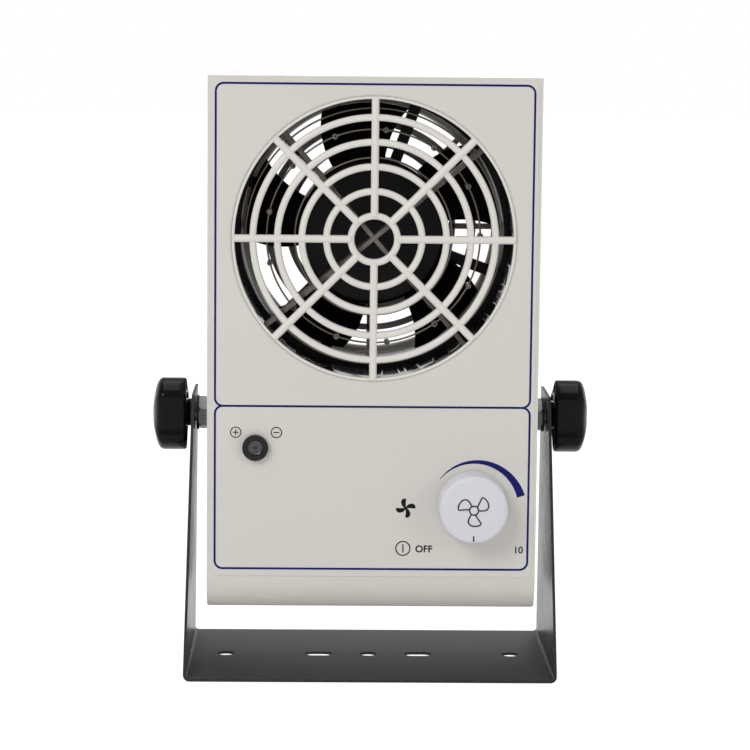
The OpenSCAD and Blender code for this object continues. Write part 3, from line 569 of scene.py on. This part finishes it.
def smooth_path(pts, steps):
    """Curve through the points, with a few more between each two."""
    out = []
    n = len(pts)
    for i in range(n - 1):
        p0, p1, p2, p3 = (pts[max(i - 1, 0)], pts[i], pts[i + 1], pts[min(i + 2, n - 1)])
        for j in range(steps):
            t = j / steps
            out.append(tuple(0.5 * (2 * b + (c - a) * t + (2 * a - 5 * b + 4 * c - d) * t * t
                                    + (3 * b - a - 3 * c + d) * t ** 3)
                             for a, b, c, d in zip(p0, p1, p2, p3)))
    out.append(pts[-1])
    return out


def speed_knob():
    """White dial with a rounded rim, a pointer line and an outlined fan on its face."""
    lo, hi = box_mm("speed_knob")
    y0, y1 = lo[1], hi[1]
    cx, cz = (lo[0] + hi[0]) / 2, (lo[2] + hi[2]) / 2
    rb = (hi[0] - lo[0]) / 2
    rf = rb - 0.55
    sh = Shape()
    prof = [(0.0, y0 + 0.15), (rf * 0.6, y0 + 0.1), (rf - 1.9, y0), (rf - 1.1, y0 + 0.12),
            (rf - 0.45, y0 + 0.5), (rf - 0.1, y0 + 1.1), (rf, y0 + 1.9), (rb - 0.12, y1 - 0.9),
            (rb - 0.1, y1 - 0.3), (rb - 0.4, y1), (rb - 2.0, y1), (rb - 2.2, y1 - 3.2),
            (7.5, y1 - 3.3), (0.0, y1 - 3.3)]
    dome_lathe_y(sh, prof, cx, cz, 128)
    piece("dial_moulding", sh.verts, sh.faces, "dial", "speed", 50,
          stands_for=("speed_knob",))
    ink = Shape()
    yf = y0 + 0.02
    ribbon(ink, [(cx, cz - 10.9), (cx, cz - 13.3)], 0.55, yf, 0.08)
    blade = ((1.9, 18), (3.4, 24), (5.1, 27.5), (6.2, 29), (6.7, 24), (6.8, 10), (6.6, -6),
             (6.1, -19), (5.1, -28), (3.9, -31), (2.8, -32), (1.95, -34))
    for k in range(3):
        pts = []
        for r, a in smooth_path(blade, 3):
            a = math.radians(120 * k + 30 + a)
            pts.append((cx + r * math.cos(a), cz + r * math.sin(a)))
        ribbon(ink, pts, 0.5, yf, 0.08 + 0.004 * k)
    ribbon(ink, ring_pts(cx, cz, 1.9, 36), 0.5, yf, 0.095, closed=True)
    piece("dial_marks", ink.verts, ink.faces, "ink", "speed")


speed_knob()


# ---- indicator ----

def indicator():
    """Stepped dark lens with a ring of fine radial ribs."""
    lo, hi = box_mm("indicator_lens")
    cx, cz = (lo[0] + hi[0]) / 2, (lo[2] + hi[2]) / 2
    r = (hi[0] - lo[0]) / 2
    y0, y1 = lo[1], hi[1]
    prof = [(0.0, y0 + 0.25), (0.35, y0 + 0.27), (0.6, y0 + 0.5), (0.75, y0 + 0.8),
            (1.5, y0 + 0.85), (1.7, y0 + 0.55), (2.0, y0 + 0.5), (2.15, y0 + 0.8),
            (2.5, y0 + 0.8), (2.65, y0 + 0.35), (2.95, y0 + 0.2), (r - 0.12, y0 + 0.15),
            (r, y0 + 0.4), (r, y1), (0.0, y1)]
    sh = Shape()
    dome_lathe_y(sh, prof, cx, cz, 64)
    piece("lens_moulding", sh.verts, sh.faces, "lens", "casing", 40,
          stands_for=("indicator_lens",))
    ribs = Shape()
    for k in range(26):
        a = 2 * math.pi * k / 26
        dx, dz = math.cos(a), math.sin(a)
        ribbon(ribs, [(cx + 2.05 * dx, cz + 2.05 * dz), (cx + 2.75 * dx, cz + 2.75 * dz)],
               0.28, y0 + 0.85, 0.25)
    ribbon(ribs, ring_pts(cx, cz, 1.35, 28), 0.22, y0 + 0.85, 0.2, closed=True)
    piece("lens_ribs", ribs.verts, ribs.faces, "lens_grey", "casing", 30)


indicator()


# ---- hand knobs ----

KNOB_R, SCALLOP_R, SCALLOP_DEPTH, SCALLOP_TURN, LOBES = 16.4, 40.0, 4.4, 4.75, 3


def lobed_radius(angle_deg, big_r, scallop_r, depth, first):
    """Radius of the lobed outline in a direction, the smaller of circle and scallops."""
    best = big_r
    for k in range(LOBES):
        a = math.radians(angle_deg - first - 360 / LOBES * k)
        dist = big_r - depth + scallop_r
        b = dist * math.cos(a)
        disc = scallop_r ** 2 - (dist * math.sin(a)) ** 2
        if b > 0 and disc > 0:
            best = min(best, b - math.sqrt(disc))
    return best


def hand_knob(side):
    """Three-lobed clamp knob with a domed end and a short neck."""
    node = side + "_hand_knob"
    lo, hi = box_mm(node)
    sgn = 1 if side == "right" else -1
    x_in = lo[0] if sgn > 0 else -hi[0]
    x_out = hi[0] if sgn > 0 else -lo[0]
    neck_len = 1.4
    body0 = x_in + neck_len
    n = 144
    outline = []
    for k in range(n):
        a = 360.0 * k / n
        r = lobed_radius(a, KNOB_R, SCALLOP_R, SCALLOP_DEPTH, 180 + SCALLOP_TURN)
        outline.append((a, r))
    blur = (-2, -1, 0, 1, 2)
    smooth = [sum(outline[(k + d) % n][1] for d in blur) / len(blur) for k in range(n)]
    stations = [(body0 + 0.9, 0.86), (body0 + 0.15, 0.915), (body0 + 0.0, 0.945),
                (body0 + 0.35, 0.985), (body0 + 1.2, 1.0), (x_out - 5.4, 1.0),
                (x_out - 4.3, 0.992), (x_out - 3.3, 0.955), (x_out - 2.4, 0.87),
                (x_out - 1.6, 0.74), (x_out - 0.9, 0.56), (x_out - 0.35, 0.36),
                (x_out - 0.05, 0.16)]
    rings = []
    for x, k in stations:
        ring = []
        for i in range(n):
            a = math.radians(outline[i][0])
            r = smooth[i] * k
            ring.append((sgn * x, r * math.cos(a), PIVOT_Z + r * math.sin(a)))
        rings.append(ring)
    sh = Shape()
    sh.loft(rings)
    neck = []
    for x, r in ((x_in, 4.3), (x_in, 5.6), (x_in + 0.3, 6.0), (body0 + 1.2, 6.0)):
        neck.append([(sgn * x, r * math.cos(2 * math.pi * i / 48),
                      PIVOT_Z + r * math.sin(2 * math.pi * i / 48)) for i in range(48)])
    sh.loft(neck)
    return piece(side + "_knob_moulding", sh.verts, sh.faces, "knob", side + "_knob",
                 55, stands_for=(node,))


for which in ("left", "right"):
    hand_knob(which)


# ---- stage ----

FLOOR_HALF, FLOOR_DROP, FLOOR_GLOW, FLOOR_SHARE = 8.0, 0.0005, 1.2, 0.84


def floor():
    """White floor that glows for the camera but keeps the object's soft shadow."""
    mat, tree, bsdf = new_material("floor_white")
    out = tree.nodes["Material Output"]
    path = tree.nodes.new("ShaderNodeLightPath")
    emit = tree.nodes.new("ShaderNodeEmission")
    emit.inputs["Color"].default_value = (1, 1, 1, 1)
    emit.inputs["Strength"].default_value = FLOOR_GLOW
    bsdf.inputs["Base Color"].default_value = (0.86, 0.86, 0.86, 1)
    bsdf.inputs["Roughness"].default_value = 0.8
    mesh = bpy.data.meshes.new("floor")
    bm = bmesh.new()
    bmesh.ops.create_grid(bm, x_segments=1, y_segments=1, size=FLOOR_HALF)
    bm.to_mesh(mesh)
    bm.free()
    mesh.materials.append(mat)
    obj = bpy.data.objects.new("floor", mesh)
    bpy.context.scene.collection.objects.link(obj)
    obj.location = (0, 0, -FLOOR_DROP)
    mix = tree.nodes.new("ShaderNodeMixShader")
    dim = tree.nodes.new("ShaderNodeMath")
    dim.operation = "MULTIPLY"
    dim.inputs[1].default_value = 0.5
    link(tree, path.outputs["Is Glossy Ray"], dim.inputs[0])
    add = tree.nodes.new("ShaderNodeMath")
    add.operation = "MAXIMUM"
    link(tree, path.outputs["Is Camera Ray"], add.inputs[0])
    link(tree, dim.outputs[0], add.inputs[1])
    part = tree.nodes.new("ShaderNodeMath")
    part.operation = "MULTIPLY"
    part.inputs[1].default_value = FLOOR_SHARE
    link(tree, add.outputs[0], part.inputs[0])
    link(tree, part.outputs[0], mix.inputs["Fac"])
    link(tree, bsdf.outputs["BSDF"], mix.inputs[1])
    link(tree, emit.outputs["Emission"], mix.inputs[2])
    link(tree, mix.outputs["Shader"], out.inputs["Surface"])


floor()


def glossy_white(tree, path):
    """Reflections see the white backdrop behind the object and a dim room in front."""
    coord = tree.nodes.new("ShaderNodeTexCoord")
    split = tree.nodes.new("ShaderNodeSeparateXYZ")
    link(tree, coord.outputs["Generated"], split.inputs["Vector"])
    side = tree.nodes.new("ShaderNodeMapRange")
    side.inputs["From Min"].default_value = 0.25
    side.inputs["From Max"].default_value = 0.8
    side.inputs["To Min"].default_value = 0.0
    side.inputs["To Max"].default_value = 1.0
    link(tree, split.outputs["Y"], side.inputs["Value"])
    both = tree.nodes.new("ShaderNodeMath")
    both.operation = "MULTIPLY"
    link(tree, path.outputs["Is Glossy Ray"], both.inputs[0])
    link(tree, side.outputs["Result"], both.inputs[1])
    return both.outputs[0]


def world():
    """White to the camera, softly lit for all else."""
    w = bpy.data.worlds.new("studio")
    bpy.context.scene.world = w
    w.use_nodes = True
    tree = w.node_tree
    tree.nodes.clear()
    out = tree.nodes.new("ShaderNodeOutputWorld")
    soft = tree.nodes.new("ShaderNodeBackground")
    soft.inputs["Color"].default_value = (1.0, 1.0, 1.0, 1)
    soft.inputs["Strength"].default_value = 0.40
    white = tree.nodes.new("ShaderNodeBackground")
    white.inputs["Color"].default_value = (1, 1, 1, 1)
    white.inputs["Strength"].default_value = 1.0
    path = tree.nodes.new("ShaderNodeLightPath")
    one = tree.nodes.new("ShaderNodeMath")
    one.operation = "MAXIMUM"
    two = tree.nodes.new("ShaderNodeMath")
    two.operation = "MAXIMUM"
    link(tree, path.outputs["Is Camera Ray"], one.inputs[0])
    link(tree, path.outputs["Is Transmission Ray"], one.inputs[1])
    link(tree, one.outputs[0], two.inputs[0])
    link(tree, glossy_white(tree, path), two.inputs[1])
    mix = tree.nodes.new("ShaderNodeMixShader")
    link(tree, two.outputs[0], mix.inputs["Fac"])
    link(tree, soft.outputs["Background"], mix.inputs[1])
    link(tree, white.outputs["Background"], mix.inputs[2])
    link(tree, mix.outputs["Shader"], out.inputs["Surface"])


world()


def area(name, loc, target, size, power):
    """Rectangular lamp at loc, in metres, that faces target."""
    data = bpy.data.lights.new(name, "AREA")
    data.shape = "RECTANGLE"
    data.size, data.size_y = size
    data.energy = power
    obj = bpy.data.objects.new(name, data)
    bpy.context.scene.collection.objects.link(obj)
    obj.location = loc
    obj.rotation_euler = (Vector(target) - Vector(loc)).to_track_quat("-Z", "Y").to_euler()


area("key", (-0.9, -1.3, 1.1), (0, 0, 0.15), (0.9, 0.9), 14)
area("fill", (1.2, -1.0, 0.5), (0, 0, 0.12), (0.8, 0.8), 3.5)
area("top", (0.0, 0.2, 1.4), (0, 0, 0.1), (1.0, 1.0), 6)
area("back", (0.2, 1.3, 0.8), (0, 0, 0.15), (0.9, 0.9), 5)


# ---- camera ----

CAM = {"lens_mm": 129.3752, "az": -1.288, "el": 7.302, "roll": 0.593,
       "pos_mm": (-24.509, -1170.281, 275.882)}


def camera():
    data = bpy.data.cameras.new("camera")
    obj = bpy.data.objects.new("camera", data)
    bpy.context.scene.collection.objects.link(obj)
    data.sensor_width = 36.0
    data.lens = CAM["lens_mm"]
    data.clip_start = 0.05
    az, el, roll = (math.radians(CAM[k]) for k in ("az", "el", "roll"))
    fwd = Vector((-math.sin(az) * math.cos(el), math.cos(az) * math.cos(el), -math.sin(el)))
    right = Vector((math.cos(az), math.sin(az), 0))
    up = right.cross(fwd)
    r2 = math.cos(roll) * right + math.sin(roll) * up
    u2 = -math.sin(roll) * right + math.cos(roll) * up
    rot = Matrix((r2, u2, -fwd)).transposed().to_4x4()
    obj.matrix_world = Matrix.Translation([c * MM for c in CAM["pos_mm"]]) @ rot
    bpy.context.scene.camera = obj


camera()
bpy.context.scene.view_settings.view_transform = "Standard"
